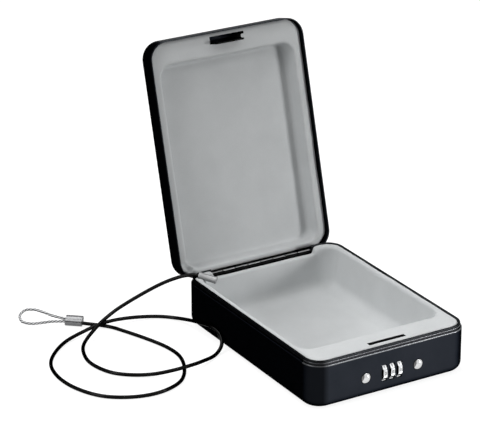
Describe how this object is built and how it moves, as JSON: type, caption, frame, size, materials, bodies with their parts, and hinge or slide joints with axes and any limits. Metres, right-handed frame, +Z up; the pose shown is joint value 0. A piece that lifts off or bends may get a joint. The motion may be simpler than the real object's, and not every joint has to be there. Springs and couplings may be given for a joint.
{
  "type": "portable safe",
  "caption": "Small black steel safe box with a hinged padded lid, number wheels and push buttons in the front wall, and a coated tether cable ending in a crimped wire eye.",
  "frame": {"origin": "middle of the flat underside of the base, on the surface that the safe stands on", "axes": "+Z up, +Y towards the hinge, +X to the right as seen from the lock side; stored with the lid open"},
  "size_m": [0.3548, 0.3374, 0.2762],
  "materials": {
    "black_paint": "satin",
    "black_plastic": "satin",
    "grey_flock": "matte",
    "black_steel": "satin",
    "zinc_steel": "satin",
    "bright_steel": "polished",
    "aluminium": "satin",
    "black_vinyl": "gloss",
    "galvanised_wire": "satin",
    "dial_silver": "satin",
    "chrome": "polished"
  },
  "bodies": {
    "base": {"base_shell": "black_paint", "rim_frame": "black_plastic", "base_lining": "grey_flock", "hinge_base_leaf": "black_steel", "hinge_pin": "bright_steel", "lock_bracket": "zinc_steel", "dial_cradle": "zinc_steel", "dial_axle": "bright_steel", "axle_clip_left": "black_steel", "axle_clip_right": "black_steel", "detent_spring": "bright_steel", "cable_sleeve": "aluminium", "security_cable": "black_vinyl", "cable_ferrule": "aluminium", "wire_eye": "galvanised_wire", "lock_nut_1": "zinc_steel", "lock_nut_2": "zinc_steel", "lock_nut_3": "zinc_steel", "lock_nut_4": "zinc_steel", "button_spring_left": "bright_steel", "button_spring_right": "bright_steel"},
    "lid": {"lid_shell": "black_paint", "lid_lining": "grey_flock", "hinge_lid_leaf": "black_steel", "striker_plate": "black_steel", "striker_nut_left": "zinc_steel", "striker_nut_right": "zinc_steel"},
    "wheel_1": {"dial_1": "dial_silver"},
    "wheel_2": {"dial_2": "dial_silver"},
    "wheel_3": {"dial_3": "dial_silver"},
    "left_latch": {"button_left": "chrome", "latch_arm_left": "zinc_steel"},
    "right_latch": {"button_right": "chrome", "latch_arm_right": "zinc_steel"}
  },
  "joints": [
    {"name": "lid_hinge", "type": "hinge", "parent": "base", "child": "lid", "pos_m": [0, 0.1219, 0.0418], "axis": [-1, 0, 0], "range_deg": [-105.2, 0]},
    {"name": "dial_1_spin", "type": "hinge", "parent": "base", "child": "wheel_1", "pos_m": [-0.0086, -0.11395, 0.0214], "axis": [1, 0, 0], "continuous": true},
    {"name": "dial_2_spin", "type": "hinge", "parent": "base", "child": "wheel_2", "pos_m": [0, -0.11395, 0.0214], "axis": [1, 0, 0], "continuous": true},
    {"name": "dial_3_spin", "type": "hinge", "parent": "base", "child": "wheel_3", "pos_m": [0.0086, -0.11395, 0.0214], "axis": [1, 0, 0], "continuous": true},
    {"name": "button_left_press", "type": "slide", "parent": "base", "child": "left_latch", "axis": [0, 1, 0], "range_m": [0, 0.003], "stiffness_N_per_m": 400, "springref_m": -0.002, "deforming": ["button_spring_left"]},
    {"name": "button_right_press", "type": "slide", "parent": "base", "child": "right_latch", "axis": [0, 1, 0], "range_m": [0, 0.003], "stiffness_N_per_m": 400, "springref_m": -0.002, "deforming": ["button_spring_right"]}
  ]
}
